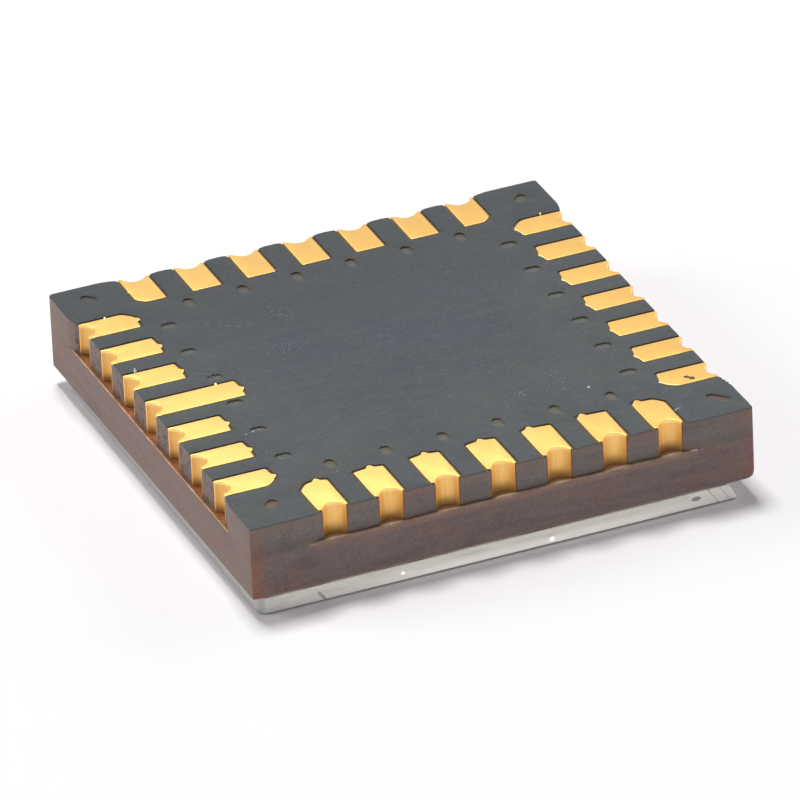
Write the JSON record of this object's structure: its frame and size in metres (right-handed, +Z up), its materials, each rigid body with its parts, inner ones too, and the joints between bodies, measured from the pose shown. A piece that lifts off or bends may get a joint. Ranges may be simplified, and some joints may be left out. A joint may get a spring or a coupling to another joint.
{
  "type": "leadless chip carrier",
  "caption": "Square leadless chip carrier of stepped brown laminate with gold solder pads, half-round plated edge notches and a glass window over a sensor chip, lying window down.",
  "frame": {"origin": "centre of the square body, on the window's outer face, which the part lies on", "axes": "+Z up through the package to the solder pads, -X towards the side with the long first terminal, +Y along that side so that terminals count clockwise seen from above"},
  "size_m": [0.0114, 0.0114, 0.0021],
  "materials": {
    "laminate": "routed glass-epoxy edge",
    "laminate_frame": "sawn glass-epoxy edge",
    "bond_film": "cured adhesive film",
    "mask": "satin coat",
    "gold": "matte gold plating",
    "glass": "clear cover glass",
    "seal": "cured clear adhesive",
    "die_adhesive": "silver-filled adhesive",
    "silicon": "polished",
    "filter": "iridescent filter coat",
    "aluminium_pad": "bright"
  },
  "bodies": {
    "root": {"base_board": "laminate", "bond_ply": "bond_film", "wall_board": "laminate_frame", "solder_mask": "mask", "lid_seal": "seal", "window": "glass", "die_pad": "gold", "die_attach": "die_adhesive", "die": "silicon", "filter_coat": "filter", "die_bond_pads": "aluminium_pad", "bond_wires": "gold", "terminal_01": "gold", "terminal_02": "gold", "terminal_03": "gold", "terminal_04": "gold", "terminal_05": "gold", "terminal_06": "gold", "terminal_07": "gold", "terminal_08": "gold", "terminal_09": "gold", "terminal_10": "gold", "terminal_11": "gold", "terminal_12": "gold", "terminal_13": "gold", "terminal_14": "gold", "terminal_15": "gold", "terminal_16": "gold", "terminal_17": "gold", "terminal_18": "gold", "terminal_19": "gold", "terminal_20": "gold", "terminal_21": "gold", "terminal_22": "gold", "terminal_23": "gold", "terminal_24": "gold", "terminal_25": "gold", "terminal_26": "gold", "terminal_27": "gold", "terminal_28": "gold"}
  },
  "joints": []
}
